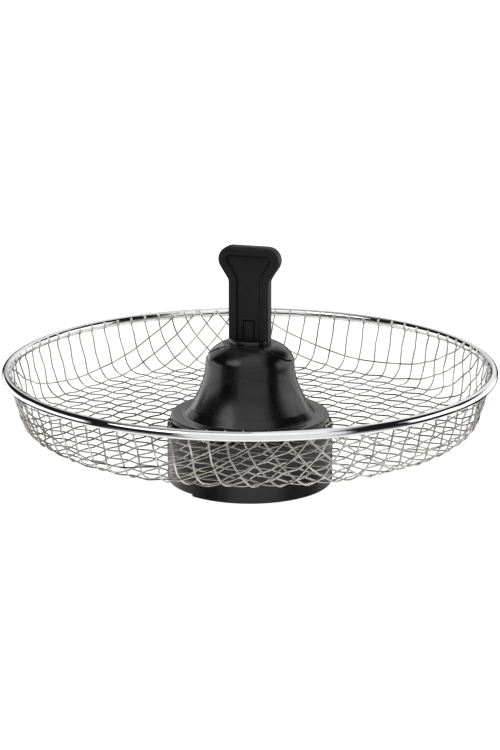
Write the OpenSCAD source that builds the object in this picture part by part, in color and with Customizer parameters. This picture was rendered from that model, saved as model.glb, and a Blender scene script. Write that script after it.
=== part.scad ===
// Snack basket for a round fryer pan: a shallow dish of woven wire in a round rod rim, on a
// hollow pedestal that stands over the pan's centre post, with an upright handle that lifts off.
// Millimetres. The origin is the centre of the pedestal's foot, +Z is up, the handle faces -Y.

/* [Rim] */
// Outer diameter of the rim
rim_d = 260; // [220:1:320]
// Diameter of the rim's rod
rim_rod_d = 4.8; // [3.5:0.1:6]
// Height of the rod's centre above the foot
rim_z = 61.5; // [54:0.5:75]

/* [Wire dish] */
// Diameter of the dish's wire
wire_d = 0.9; // [0.7:0.05:1.2]
// Distance between neighbouring wires
wire_pitch = 9.45; // [8:0.05:12]
// Height of the middle of the woven floor above the foot
floor_z = 32.5; // [28:0.5:36]
// Lean of the dish's wall away from the vertical, in degrees
wall_lean = 15.2; // [5:0.1:25]
// Radius of the bend between floor and wall
bend_r = 10; // [6:0.5:14]
// How far inside the rod's centre the wall's line passes
wall_inset = 1; // [0:0.1:1.2]
// Turn of the weave about the axis, in degrees
weave_turn = -17.4; // [-45:0.1:45]
// Sideways shift of the weave, so that no wire runs through the centre
weave_shift = 1.85; // [0:0.05:4.5]
// Radius of the hole cut in the weave for the hub
weave_hole_r = 30; // [28:0.5:34]

/* [Pedestal] */
// Outer radius of the drum
drum_r = 44; // [42:0.5:50]
// Thickness of the drum's wall
drum_wall = 3; // [2:0.1:4]
// Depth of the bore that goes over the pan's centre post
bore_depth = 22.5; // [18:0.5:24]
// Thickness of the drum's top plate
drum_top_t = 3; // [2:0.1:3.5]
// Height of the notches in the foot's edge
notch_h = 1.2; // [0.5:0.1:3]
// Width of each notch, in degrees
notch_span = 42; // [20:1:44]

/* [Clamp plates] */
// Thickness of the two steel plates that grip the weave
plate_t = 1; // [0.6:0.1:1.2]
// Inner radius of the plates
plate_r_in = 26; // [25:0.5:27]
// Outer radius of the plates
plate_r_out = 40; // [36:0.5:40.5]

/* [Hub] */
// Radius of the hub's flange
flange_r = 42; // [41:0.5:43.5]
// Thickness of the flange above the weave
flange_t = 3; // [2:0.1:4]
// Radius of the dome
dome_r = 23.5; // [22:0.5:26]
// Height of the dome's widest level above the foot
dome_z = 64; // [58:0.1:66]
// Rise of the dome above its widest level
dome_h = 13.4; // [12:0.1:16]
// Radius where the hub's bell meets the flange
bell_r = 34; // [30:0.5:38]
// Thickness of the hub's shell under the cap
hub_wall = 2.6; // [2:0.1:3.5]
// Thickness of the cap
cap_t = 1.2; // [0.8:0.1:2]
// Height of the cap's lower edge above the foot
cap_z = 52; // [48:0.5:60]
// Radius of the arched window in the cap's front
arch_r = 34; // [30:1:44]
// Height of the arch's crown above the foot
arch_z = 76; // [70:0.5:78]

/* [Handle] */
// Height of the handle's top above the foot
handle_top_z = 126; // [110:0.5:140]
// Height of the handle's shoulders above the foot
handle_foot_z = 74.8; // [74.6:0.1:75.2]
// Width of the stem
stem_w = 21.8; // [18:0.1:24]
// Width of the head
head_w = 33; // [28:0.5:40]
// Radius of the head's corners
head_r = 7; // [5:0.5:10]
// Radius of the hollow between head and stem
neck_r = 4; // [2:0.5:8]
// Lean of the head's flanks away from the vertical, in degrees
flank_lean = 33; // [25:1:50]
// Thickness of the handle
handle_t = 8; // [7:0.1:10]
// Depth of the recess in the front face
recess_depth = 1.5; // [0.8:0.1:1.5]
// Width of the border around the recess
border = 4.4; // [2.5:0.1:5]
// Width of the blade below the shoulders
blade_w = 17; // [12:0.5:18]
// Thickness of the blade
blade_t = 5; // [4.6:0.1:5.4]
// Length of the blade below the shoulders
blade_l = 18; // [14:0.5:20]

/* [Release tongue] */
// Width of the tongue
tongue_w = 5.2; // [4:0.1:8]
// Thickness of the tongue
tongue_t = 1.6; // [1.2:0.1:1.8]
// Height of the tongue's free end above the foot
tongue_top_z = 86.5; // [82:0.5:92]
// Height of the tongue's root above the foot
tongue_root_z = 64.8; // [62:0.1:68]
// Width of the slit around the tongue
slit = 0.5; // [0.3:0.05:0.6]
// Room behind the tongue for it to be pressed in
press_room = 2.4; // [2.2:0.1:2.6]

/* [Socket collar] */
// Thickness of the sleeve around the blade
sleeve_wall = 2.6; // [1.5:0.1:3]
// Clearance between the blade and its sleeve
blade_play = 0.2; // [0.1:0.05:0.4]
// Thickness of the sleeve's floor
sleeve_floor = 4; // [3:0.1:5]
// Height of the curved lip in front of the handle
lip_h = 2.7; // [1:0.1:5]
// Thickness of the lip
lip_t = 2; // [1.2:0.1:2.5]
// Thickness of the floor between the lip and the handle
lip_floor = 0.8; // [0.4:0.1:1.2]
// How far the lip's ends stay in from the handle's sides
lip_inset = 0.6; // [0:0.1:2]
// How far the lip bulges forward of the handle
lip_bulge = 6.5; // [3:0.1:8]

/* [Screws] */
// Diameter of the screws' thread
screw_d = 3; // [2.5:0.1:3.5]
// Diameter of the screws' heads
head_d = 5.6; // [5:0.1:6.5]
// Height of the screws' heads
head_t = 2; // [1.5:0.1:2.4]
// Radius of the circle that the hub's screws stand on
hub_screw_r = 17.5; // [16:0.5:18]
// Length of a hub screw's thread
hub_screw_l = 14; // [10:0.5:20]
// Distance between the two collar screws
collar_screw_gap = 12; // [8:0.5:14]

/* [Hidden] */

eps = 0.01;         // overlap that keeps two cuts from sharing a face
fit_gap = 0.2;      // clearance between pieces that are assembled by hand
seat_gap = 0.05;    // clearance between pieces that are pressed together
wire_sides = 6;     // sides of a wire's section
steel = [0.72, 0.70, 0.66];
chrome = [0.82, 0.82, 0.83];
black = [0.10, 0.10, 0.11];

// Rim and wall. The wall is a cone from the end of the bend up to the rod.
rim_r = (rim_d - rim_rod_d) / 2;
layer = wire_d / 2 + seat_gap / 2;                  // each layer's distance from the weave's middle
wire_stop = rim_rod_d / 2 + wire_d / 2 + seat_gap;  // a wire's end, from the rod's centre
wall_end_back = sqrt(wire_stop^2 - wall_inset^2);   // the same, measured along the wall
wall_end = [
    rim_r - wall_inset * cos(wall_lean) - wall_end_back * sin(wall_lean),
    rim_z + wall_inset * sin(wall_lean) - wall_end_back * cos(wall_lean)
];
bend_angle = 90 - wall_lean;
wall_foot_r = wall_end[0] - (wall_end[1] - floor_z) * tan(wall_lean); // the wall's line meets the floor
bend_start = wall_foot_r - bend_r * tan(bend_angle / 2);
bend_end = bend_start + bend_r * bend_angle * PI / 180;
bend_top = [bend_start + bend_r * sin(bend_angle), floor_z + bend_r * (1 - cos(bend_angle))];
dish_reach = bend_end + (wall_end[1] - bend_top[1]) / cos(wall_lean); // from the axis to a wire's end

// Pedestal and hub levels, from the foot up.
weave_t = 2 * (layer + wire_d / 2);                 // thickness of the woven floor
drum_h = floor_z - weave_t / 2 - seat_gap;          // top of the drum
flange_z = floor_z + weave_t / 2 + seat_gap;        // underside of the hub's flange
plate_seat_z = drum_h - plate_t;                    // bottom of the lower plate's seat
bore_r = drum_r - drum_wall;
bore_shoulder = 3;                                  // width of the shoulder at the bore's end
rib_t = 2.4;
rib_count = 8;
top_hole_r = hub_screw_r - head_d / 2 - rib_t - 1;  // opening in the drum's top plate
under_z = plate_seat_z - drum_top_t;                // underside of the drum's top plate
spigot_h = flange_z + plate_t - plate_seat_z - seat_gap;
screw_count = 4;
boss_r = 3.5;
spigot_r_in = hub_screw_r + boss_r + 1;
bell_z = flange_z + flange_t;
profile_steps = 14;
top_flat_z = handle_foot_z - 0.3;                   // the shoulders stand clear of the flat

// Handle and its socket.
head_z = handle_top_z - head_r;
stem_front = -handle_t / 2;
recess_y = stem_front + recess_depth;
sleeve_w = blade_w + 2 * (blade_play + sleeve_wall);
sleeve_d = blade_t + 2 * (blade_play + sleeve_wall);
blade_end_z = handle_foot_z - blade_l;
sleeve_z = blade_end_z - blade_play - sleeve_floor;
bridge_t = 3;
bridge_w = 12;
collar_bite = sleeve_floor - 0.6;                   // how far a collar screw enters the sleeve's floor
tongue_y = recess_y + tongue_t / 2;                 // middle of the tongue's thickness
nib_r = 0.6;
nib_z = tongue_root_z + 5;
lip_gap = 0.3;                                      // between the lip's ends and the handle's front
lip_chord = stem_w - 2 * lip_inset;
lip_r = ((lip_chord / 2)^2 + lip_bulge^2) / (2 * lip_bulge);
brow_y = lip_bulge + lip_gap - stem_front + fit_gap; // how far forward the cap's flat top reaches

// ---- the woven dish -------------------------------------------------------------------------

function unit(v) = v / norm(v);
function sign_of(x) = x < 0 ? -1 : 1;

// The dish's middle surface, by distance s from the axis: [radius, height, slope in degrees].
function dish(s) =
    s < bend_start ? [s, floor_z, 0] :
    s < bend_end ?
        let (b = (s - bend_start) / bend_r * 180 / PI)
        [bend_start + bend_r * sin(b), floor_z + bend_r * (1 - cos(b)), b] :
        let (w = s - bend_end)
        [bend_top[0] + w * sin(wall_lean), bend_top[1] + w * cos(wall_lean), bend_angle];

// Flat square-woven cloth pressed into the dish keeps its wires' lengths. On the floor it stays
// flat. On the cone of the wall, unrolled, all wires of one family are copies of one curve:
// climb() is the curve of those that meet the bend square on, sweep() of those that run along it.
cone_k = sin(wall_lean);
fold_s = wall_foot_r - 0.5;
function climb(a) = let (p = cone_k, q = 2 - cone_k) [
    sin(p * a) / p - sin(q * a) / q,
    -(1 - cos(q * a)) / q - (1 - cos(p * a)) / p
] / 2;
function sweep(a) = let (p = cone_k, q = 2 - cone_k) [
    sin(p * a) / p + sin(q * a) / q,
    (1 - cos(q * a)) / q - (1 - cos(p * a)) / p
] / 2;

// A point of the flat cloth, given by its place u, v, on the dish: [angle, distance s].
function drape(u, v) =
    norm([u, v]) <= fold_s ? [atan2(v, u), norm([u, v])] :
    let (
        au = abs(u),
        av = abs(v),
        last = (1 - cone_k) * 90,
        from_u = au < fold_s ? fold_s * climb(acos(au / fold_s)) : [0, au - fold_s],
        from_v = av < fold_s ? fold_s * sweep(asin(av / fold_s)) :
            fold_s * sweep(90) + (av - fold_s) * [cos(last), sin(last)],
        flat = [0, fold_s / cone_k] + from_u + from_v,
        turn = atan2(flat[0], flat[1]) / cone_k
    )
    [atan2(sin(turn) * sign_of(v), cos(turn) * sign_of(u)), fold_s + norm(flat) - fold_s / cone_k];

// A point of a wire, lifted off the middle surface towards the inside: [place, inward normal].
function wire_point(u, v, lift) =
    let (
        where = drape(u, v),
        p = dish(where[1]),
        out = [cos(where[0]), sin(where[0]), 0],
        inward = -sin(p[2]) * out + [0, 0, cos(p[2])]
    )
    [p[0] * out + [0, 0, p[1]] + lift * inward, inward];

// How far along v the wire at u runs before it reaches the rim.
function wire_end(u, low = 0, high = rim_d, tries = 26) =
    tries == 0 ? low :
    let (mid = (low + high) / 2)
    drape(u, mid)[1] < dish_reach ? wire_end(u, mid, high, tries - 1) : wire_end(u, low, mid, tries - 1);

// Half the length of the stretch at u that lies within a circle, or 0 where it misses the circle.
function half_chord(r, u) = abs(u) < r ? sqrt(r^2 - u^2) : 0;

// The places between two ends where the wire at u has its sections: wherever it crosses a wire of
// the other family, which is shifted along it, and halfway between crossings in the bend.
function sections(u, shift, from, to) = [
    for (k = [ceil(2 * (from - shift) / wire_pitch):floor(2 * (to - shift) / wire_pitch)])
        let (v = shift + k * wire_pitch / 2, s = drape(u, v)[1])
        if (abs(v - from) > wire_d && abs(v - to) > wire_d)
            if (k % 2 == 0 || (s > bend_start && s < bend_end)) v
];

// Each stretch of the wire at u, as a list of places along v: one, or two where the hub cuts it.
function stretches(u, shift) =
    let (
        end = wire_end(u),
        flat = half_chord(bend_start, u),
        cut = half_chord(weave_hole_r, u),
        near = concat([-end], sections(u, shift, -end, -flat)),
        far = concat(sections(u, shift, flat, end), [end])
    )
    cut > 0 ? [concat(near, [-flat, -cut]), concat([cut, flat], far)] :
    flat > 0 ? [concat(near, [-flat, flat], far)] :
    [concat([-end], sections(u, shift, -end, end), [end])];

// A wire through a list of [place, normal]. Its section has as much metal as a round wire's.
module wire(path) {
    n = len(path);
    k = wire_sides;
    r = wire_d / 2 * sqrt(PI / (k / 2 * sin(360 / k)));
    points = [
        for (i = [0:n - 1])
            let (
                along = unit(path[min(i + 1, n - 1)][0] - path[max(i - 1, 0)][0]),
                up = unit(path[i][1] - along * (along * path[i][1])),
                side = cross(along, up)
            )
            for (j = [0:k - 1])
                let (a = 360 * (j + 0.5) / k)
                path[i][0] + r * (cos(a) * up + sin(a) * side)
    ];
    ends = [[for (j = [0:k - 1]) j], [for (j = [k - 1:-1:0]) (n - 1) * k + j]];
    walls = [
        for (i = [0:n - 2])
            for (j = [0:k - 1])
                let (a = i * k + j, b = i * k + (j + 1) % k)
                for (face = [[a, a + k, b + k], [a, b + k, b]]) face
    ];
    polyhedron(points, concat(ends, walls));
}

// The wires of one family whose places lie between two limits. Warp wires run front to back,
// under the weft wires, which run left to right.
module warp_wires(low, high) {
    count = ceil(rim_r / wire_pitch);
    color(steel)
        rotate([0, 0, weave_turn])
            for (i = [-count:count])
                let (u = weave_shift + i * wire_pitch)
                if (u > low && u < high && abs(u) < dish_reach)
                    for (stretch = stretches(u, 0))
                        wire([for (v = stretch) wire_point(u, v, -layer)]);
}

module weft_wires(low, high) {
    count = ceil(rim_r / wire_pitch);
    color(steel)
        rotate([0, 0, weave_turn])
            for (i = [-count:count])
                let (v = i * wire_pitch)
                if (v > low && v < high && abs(v) < dish_reach)
                    for (stretch = stretches(v, weave_shift))
                        wire([for (u = stretch) wire_point(u, v, layer)]);
}

module warp_wires_left() { warp_wires(-rim_r, -weave_hole_r); }
module warp_wires_middle() { warp_wires(-weave_hole_r, weave_hole_r); }
module warp_wires_right() { warp_wires(weave_hole_r, rim_r); }
module weft_wires_front() { weft_wires(-rim_r, -weave_hole_r); }
module weft_wires_middle() { weft_wires(-weave_hole_r, weave_hole_r); }
module weft_wires_back() { weft_wires(weave_hole_r, rim_r); }

module rim_ring() {
    color(chrome)
        translate([0, 0, rim_z])
            rotate_extrude($fn = 120)
                translate([rim_r, 0])
                    circle(d = rim_rod_d, $fn = 32);
}

// ---- the pedestal and what clamps the weave ---------------------------------------------------

module tube_between(r_out, r_in, z0, z1) {
    translate([0, 0, z0])
        difference() {
            cylinder(r = r_out, h = z1 - z0, $fn = 120);
            translate([0, 0, -eps])
                cylinder(r = r_in, h = z1 - z0 + 2 * eps, $fn = 120);
        }
}

// Repeats its children at the hub screws' places.
module at_hub_screws() {
    for (i = [0:screw_count - 1])
        rotate([0, 0, 360 * (i + 0.5) / screw_count])
            translate([hub_screw_r, 0, 0])
                children();
}

// The part of a ring's sector that lies within a span about -Y turned by a middle angle.
module notch(middle) {
    reach = drum_r + 2;
    half = notch_span / 2;
    rotate([0, 0, middle])
        translate([0, 0, -eps])
            linear_extrude(notch_h + eps)
                polygon([[0, 0], [-reach * tan(half), -reach], [reach * tan(half), -reach]]);
}

module pedestal() {
    color(black)
        difference() {
            union() {
                tube_between(drum_r, bore_r, 0, drum_h);
                tube_between(bore_r + eps, bore_r - bore_shoulder, bore_depth, drum_h);
                tube_between(drum_r - 1, top_hole_r, under_z, plate_seat_z);
                tube_between(plate_r_in - fit_gap, spigot_r_in, plate_seat_z - eps, plate_seat_z + spigot_h);
                tube_between(top_hole_r + rib_t, top_hole_r, bore_depth, under_z + eps);
                for (i = [0:rib_count - 1])
                    rotate([0, 0, 360 * (i + 0.5) / rib_count])
                        translate([top_hole_r + rib_t / 2, -rib_t / 2, bore_depth])
                            cube([bore_r - bore_shoulder - top_hole_r, rib_t, under_z - bore_depth + eps]);
            }
            translate([0, 0, plate_seat_z])
                difference() {
                    cylinder(r = plate_r_out + fit_gap, h = drum_h, $fn = 120);
                    translate([0, 0, -eps])
                        cylinder(r = plate_r_in - fit_gap, h = drum_h + 2 * eps, $fn = 120);
                }
            at_hub_screws()
                translate([0, 0, under_z - eps])
                    cylinder(d = screw_d + 2 * fit_gap, h = drum_top_t + 2 * eps, $fn = 32);
            for (middle = [-46, 134])
                notch(middle);
        }
}

module lower_clamp_plate() {
    color(steel)
        tube_between(plate_r_out, plate_r_in, plate_seat_z, drum_h);
}

module upper_clamp_plate() {
    color(steel)
        tube_between(plate_r_out, plate_r_in, flange_z, flange_z + plate_t);
}

module screw(length) {
    translate([0, 0, -head_t / 3])
        cylinder(d = screw_d, h = length + head_t / 3, $fn = 32);
    translate([0, 0, -head_t])
        difference() {
            cylinder(d = head_d, h = head_t, $fn = 48);
            for (a = [0, 90])
                rotate([0, 0, a])
                    translate([-head_d / 3, -0.4, -eps])
                        cube([head_d / 1.5, 0.8, head_t / 2]);
        }
}

module hub_screws() {
    color(chrome)
        at_hub_screws()
            translate([0, 0, under_z])
                screw(hub_screw_l);
}

// ---- the hub ----------------------------------------------------------------------------------

// The hub's outline, moved inwards by a wall: the bell up to the dome's widest level, then the dome.
function hub_outline(inset, z0, z1) = [
    for (i = [0:profile_steps])
        let (z = z0 + (z1 - z0) * i / profile_steps)
        [hub_radius(z + (z > dome_z ? inset * (z - dome_z) / dome_h : 0)) - inset, z]
];
function hub_radius(z) =
    z > dome_z ? dome_r * sqrt(max(0, 1 - ((z - dome_z) / dome_h)^2)) :
    z > bell_z ? dome_r + (bell_r - dome_r) * (1 - sin(90 * (z - bell_z) / (dome_z - bell_z))) :
    bell_r;

module turned(points) {
    rotate_extrude($fn = 96)
        polygon(points);
}

module bell(inset, z0, z1) {
    turned(concat([[0, z0]], hub_outline(inset, z0, z1), [[0, z1]]));
}

module sleeve_block(gap, z0, z1) {
    translate([-sleeve_w / 2 - gap, -sleeve_d / 2 - gap, z0])
        cube([sleeve_w + 2 * gap, sleeve_d + 2 * gap, z1 - z0]);
}

// The arched window in the cap's front, as a tunnel along Y from just in front of the axis. It
// leaves the cap's flat top whole as far forward as the lip.
module arch(gap) {
    difference() {
        translate([0, -gap, arch_z - arch_r])
            rotate([90, 0, 0])
                cylinder(r = arch_r - gap, h = bell_r, $fn = 120);
        translate([-arch_r, -brow_y - gap, top_flat_z - cap_t - gap])
            cube([2 * arch_r, 2 * brow_y, arch_r]);
    }
}

module hub_core() {
    core_top = top_flat_z - cap_t - seat_gap;
    inner_top = core_top - hub_wall;
    bridge_z = sleeve_z - bridge_t;
    color(black)
        difference() {
            union() {
                difference() {
                    union() {
                        translate([0, 0, flange_z])
                            cylinder(r = flange_r, h = flange_t, $fn = 120);
                        bell(0, bell_z - eps, cap_z);
                        bell(cap_t + seat_gap, cap_z - eps, core_top);
                        intersection() {
                            bell(0, cap_z - eps, top_flat_z);
                            arch(fit_gap);
                        }
                    }
                    bell(cap_t + hub_wall, bell_z - 2 * eps, inner_top);
                    translate([0, 0, flange_z - eps])
                        cylinder(r = plate_r_in + 1, h = flange_t + 2 * eps, $fn = 96);
                }
                intersection() {
                    bell(cap_t, bell_z, inner_top);
                    translate([-dome_r, -bridge_w / 2, bridge_z])
                        cube([2 * dome_r, bridge_w, bridge_t]);
                }
                intersection() {
                    bell(cap_t, plate_seat_z, dome_z);
                    at_hub_screws()
                        translate([0, 0, plate_seat_z + seat_gap])
                            cylinder(r = boss_r, h = dome_z - plate_seat_z, $fn = 48);
                }
            }
            tube_between(plate_r_out + fit_gap, plate_r_in, flange_z - eps, flange_z + plate_t + seat_gap);
            sleeve_block(fit_gap, sleeve_z, top_flat_z);
            at_hub_screws()
                translate([0, 0, plate_seat_z])
                    cylinder(d = screw_d + 2 * seat_gap, h = hub_screw_l - drum_top_t + 1, $fn = 32);
            for (side = [-1, 1])
                translate([side * collar_screw_gap / 2, 0, bridge_z - eps])
                    cylinder(d = screw_d + 2 * fit_gap, h = bridge_t + 2 * eps, $fn = 32);
        }
}

module hub_cap() {
    color(black)
        difference() {
            bell(0, cap_z, top_flat_z);
            bell(cap_t, cap_z - eps, top_flat_z - cap_t);
            sleeve_block(fit_gap, cap_z, top_flat_z + eps);
            arch(0);
        }
}

// ---- the handle's socket ----------------------------------------------------------------------

// The segment of a circle that bulges forward of the handle's front, moved inwards.
module half_moon(inset) {
    lip_y = stem_front - lip_gap;
    difference() {
        translate([0, lip_y - lip_bulge + lip_r])
            circle(r = lip_r - inset, $fn = 96);
        translate([-2 * lip_r, lip_y])
            square([4 * lip_r, 3 * lip_r]);
    }
}

module socket_collar() {
    color(black)
        difference() {
            union() {
                sleeve_block(0, sleeve_z, top_flat_z);
                translate([0, 0, top_flat_z])
                    linear_extrude(lip_floor)
                        half_moon(0);
                translate([0, 0, top_flat_z])
                    linear_extrude(lip_h)
                        difference() {
                            half_moon(0);
                            half_moon(lip_t);
                        }
            }
            translate([-blade_w / 2 - blade_play, -blade_t / 2 - blade_play, sleeve_z + sleeve_floor])
                cube([blade_w + 2 * blade_play, blade_t + 2 * blade_play, blade_l + 5]);
            translate([-tongue_w / 2 - slit, -blade_t / 2 - blade_play - nib_r - fit_gap, nib_z - nib_r - 1])
                cube([tongue_w + 2 * slit, nib_r + 1, blade_l]);
            for (side = [-1, 1])
                translate([side * collar_screw_gap / 2, 0, sleeve_z - eps])
                    cylinder(d = screw_d + 2 * seat_gap, h = collar_bite + fit_gap, $fn = 32);
        }
}

module collar_screws() {
    color(chrome)
        for (side = [-1, 1])
            translate([side * collar_screw_gap / 2, 0, sleeve_z - bridge_t])
                screw(bridge_t + collar_bite);
}

// ---- the handle -------------------------------------------------------------------------------

// The handle's front outline, moved inwards all round: round corners, straight leaning flanks and
// hollows at the neck, each running into the next.
module handle_outline(inset) {
    flank = [cos(flank_lean), -sin(flank_lean)];    // square to the right flank
    corner = [head_w / 2 - head_r, head_z];
    hollow_x = stem_w / 2 + neck_r;
    drop = (head_r + neck_r - (hollow_x - corner[0]) * flank[0]) / flank[1];
    hollow = [hollow_x, head_z + drop];
    right = [
        [stem_w / 2 - inset, handle_foot_z], [stem_w / 2 - inset, hollow[1]], hollow,
        hollow - (neck_r + inset) * flank, corner + (head_r - inset) * flank, corner
    ];
    difference() {
        polygon(concat(right, [for (i = [len(right) - 1:-1:0]) [-right[i][0], right[i][1]]]));
        for (side = [-1, 1])
            translate([side * hollow[0], hollow[1]])
                circle(r = neck_r + inset, $fn = 96);
    }
    translate([-corner[0], head_z - eps])
        square([2 * corner[0], head_r - inset + eps]);
    for (side = [-1, 1])
        translate([side * corner[0], head_z])
            circle(r = head_r - inset, $fn = 96);
}

// Turns a front outline into a plate between two depths.
module upright(y0, y1) {
    translate([0, y1, 0])
        rotate([90, 0, 0])
            linear_extrude(y1 - y0)
                children();
}

module handle_body() {
    pocket_back = recess_y + tongue_t + press_room;
    color(black)
        difference() {
            union() {
                upright(stem_front, handle_t / 2)
                    handle_outline(0);
                translate([-blade_w / 2, -blade_t / 2, blade_end_z])
                    cube([blade_w, blade_t, blade_l + eps]);
            }
            upright(stem_front - eps, recess_y)
                union() {
                    handle_outline(border);
                    translate([-stem_w / 2 + border, handle_foot_z - 1])
                        square([stem_w - 2 * border, 2]);
                }
            translate([-tongue_w / 2 - slit, stem_front - eps, tongue_root_z])
                cube([tongue_w + 2 * slit, pocket_back - stem_front + eps, tongue_top_z + slit - tongue_root_z]);
            translate([0, tongue_y, tongue_root_z])
                rotate([0, 90, 0])
                    cylinder(r = tongue_t / 2 + 0.3, h = tongue_w + 2 * slit, center = true, $fn = 48);
        }
}

module release_tongue() {
    color(black) {
        translate([-tongue_w / 2, recess_y, tongue_root_z])
            cube([tongue_w, tongue_t, tongue_top_z - tongue_root_z]);
        translate([0, tongue_y, tongue_root_z])
            rotate([0, 90, 0])
                cylinder(d = tongue_t, h = tongue_w, center = true, $fn = 48);
        translate([0, recess_y, nib_z])
            rotate([0, 90, 0])
                cylinder(r = nib_r, h = tongue_w, center = true, $fn = 48);
    }
}

rim_ring();
warp_wires_left();
warp_wires_middle();
warp_wires_right();
weft_wires_front();
weft_wires_middle();
weft_wires_back();
pedestal();
lower_clamp_plate();
upper_clamp_plate();
hub_screws();
hub_core();
hub_cap();
socket_collar();
collar_screws();
handle_body();
release_tongue();
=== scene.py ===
import math

import bmesh
import bpy
import numpy as np
from mathutils import Matrix, Vector


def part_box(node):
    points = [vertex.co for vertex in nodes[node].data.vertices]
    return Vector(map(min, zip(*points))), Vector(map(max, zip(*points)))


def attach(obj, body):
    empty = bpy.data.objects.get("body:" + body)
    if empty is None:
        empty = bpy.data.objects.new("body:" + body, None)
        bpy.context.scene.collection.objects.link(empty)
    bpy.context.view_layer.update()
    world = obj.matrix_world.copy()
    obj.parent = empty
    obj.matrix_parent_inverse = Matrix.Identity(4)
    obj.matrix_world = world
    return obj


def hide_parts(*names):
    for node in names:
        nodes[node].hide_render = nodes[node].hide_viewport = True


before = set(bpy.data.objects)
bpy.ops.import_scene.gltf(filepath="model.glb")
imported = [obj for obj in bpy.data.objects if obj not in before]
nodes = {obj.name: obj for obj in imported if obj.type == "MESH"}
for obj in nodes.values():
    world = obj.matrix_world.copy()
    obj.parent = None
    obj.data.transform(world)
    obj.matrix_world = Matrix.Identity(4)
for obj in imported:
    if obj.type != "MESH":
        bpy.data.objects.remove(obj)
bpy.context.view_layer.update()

# Lengths are in millimetres, as in the construction, and become metres in the meshes. Angles round
# the axis count from the handle's face (-Y) towards +X.
MM = 0.001


# ---- sizes ------------------------------------------------------------------------------------

def span(node, axis):
    """Lowest and highest place of a CAD node along one axis."""
    lo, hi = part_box(node)
    return lo[axis] / MM, hi[axis] / MM


# The rim's rod.
rod_low, rod_high = span("rim_ring", 2)
rod_r = (rod_high - rod_low) / 2
rim_z = (rod_high + rod_low) / 2
rim_r = min(abs(v) for axis in (0, 1) for v in span("rim_ring", axis)) - rod_r

# The woven dish: a flat floor, a bend, and a wall that leans outwards.
wire_d, wire_pitch = 0.9, 9.45
floor_z, bend_r = 32.5, 10.0
wall_lean = math.radians(15.2)
wall_inset = 1.0                    # how far inside the rod's middle the wall's line passes
weave_turn = math.radians(-17.4)    # how far the weave is turned against the handle
weave_shift = 1.85                  # how far the warp is shifted from the axis
weave_hole_r = 30.0
bend_angle = math.pi / 2 - wall_lean
wall_top = (rim_r - wall_inset * math.cos(wall_lean), rim_z + wall_inset * math.sin(wall_lean))
wall_foot_r = wall_top[0] - (wall_top[1] - floor_z) * math.tan(wall_lean)
# The same line by distance from the axis: the bend's two ends, and the place abreast of the rod.
bend_start = wall_foot_r - bend_r * math.tan(bend_angle / 2)
bend_end = bend_start + bend_r * bend_angle
bend_top_z = floor_z + bend_r * (1 - math.cos(bend_angle))
rod_reach = bend_end + (wall_top[1] - bend_top_z) / math.cos(wall_lean)

# The drum and the clamp plates.
drum_r, spigot_z = span("pedestal", 0)[1], span("pedestal", 2)[1]
drum_h = span("lower_clamp_plate", 2)[1]
bore_r, bore_depth, shoulder_r, drum_top_t = 41.0, 22.5, 38.0, 3.0
plate_t, plate_r_in, plate_r_out = 1.0, 26.0, 40.0
fit = 0.2                           # clearance between pieces that are put together by hand
seat = 0.05                         # clearance between pieces that are pressed together
plate_seat_z = drum_h - plate_t
under_z = plate_seat_z - drum_top_t
spigot_r_in, tube_r_in, tube_r_out, rib_t = 22.0, 11.3, 13.7, 2.4
notch_h, notch_half, notch_middles = 1.2, 21.0, (-46.0, 134.0)

# The hub: a flange, a bell, and a dome that is cut flat on top.
flange_z, flange_t, flange_r = span("upper_clamp_plate", 2)[0], 3.0, 42.0
bell_z, bell_r = flange_z + flange_t, 34.0
dome_r, dome_z, dome_h = 23.5, 64.0, 13.4
hub_wall = 2.6
top_flat_z = 74.5
cap_z, cap_t = 52.0, 1.2
arch_r, arch_z = 34.0, 76.0         # the hood's front edge: radius and top of its arch
brow_y = 11.0                       # how far forward the hood's flat top reaches
core_top = top_flat_z - cap_t - seat
hub_screw_r, boss_r, boss_top = 17.5, 3.5, 60.0
bridge_w, bridge_t = 12.0, 3.0

# The handle and its socket.
handle_foot_z, handle_top_z = 74.8, span("handle_body", 2)[1]
stem_w, head_w, head_r, neck_r, handle_t = 21.8, 33.0, 7.0, 4.0, 8.0
flank_lean = 33.0                   # of the flanks under the head, in degrees
recess_depth, border = 1.5, 4.4
blade_w, blade_t, blade_end_z = 17.0, 5.0, span("handle_body", 2)[0]
tongue_w, tongue_t, tongue_root_z, tongue_top_z = 5.2, 1.6, 64.8, 86.5
slit, press_room, nib_r, nib_z = 0.5, 2.4, 0.6, 69.8
sleeve_w, sleeve_d, sleeve_floor, sleeve_z = 22.6, 10.6, 4.0, span("socket_collar", 2)[0]
lip_h, lip_t, lip_floor, lip_bulge, lip_half, lip_y = 2.7, 2.0, 0.8, 6.5, 10.3, -4.3
handle_front = -handle_t / 2
recess_y = handle_front + recess_depth


# ---- mesh helpers -----------------------------------------------------------------------------

def make(name, points, faces, floats=None, merge=0.0):
    """A mesh object from points in millimetres, with its faces turned outwards."""
    mesh = bpy.data.meshes.new(name)
    mesh.from_pydata((np.asarray(points, float) * MM).tolist(), [], faces)
    for key, values in (floats or {}).items():
        layer = mesh.attributes.new(key, "FLOAT", "POINT")
        layer.data.foreach_set("value", np.asarray(values, np.float32))
    bm = bmesh.new()
    bm.from_mesh(mesh)
    if merge:
        bmesh.ops.remove_doubles(bm, verts=bm.verts, dist=merge * MM)
        bmesh.ops.dissolve_degenerate(bm, edges=bm.edges, dist=merge * MM / 10)
    bmesh.ops.recalc_face_normals(bm, faces=bm.faces)
    bm.to_mesh(mesh)
    bm.free()
    obj = bpy.data.objects.new(name, mesh)
    bpy.context.scene.collection.objects.link(obj)
    return obj


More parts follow.
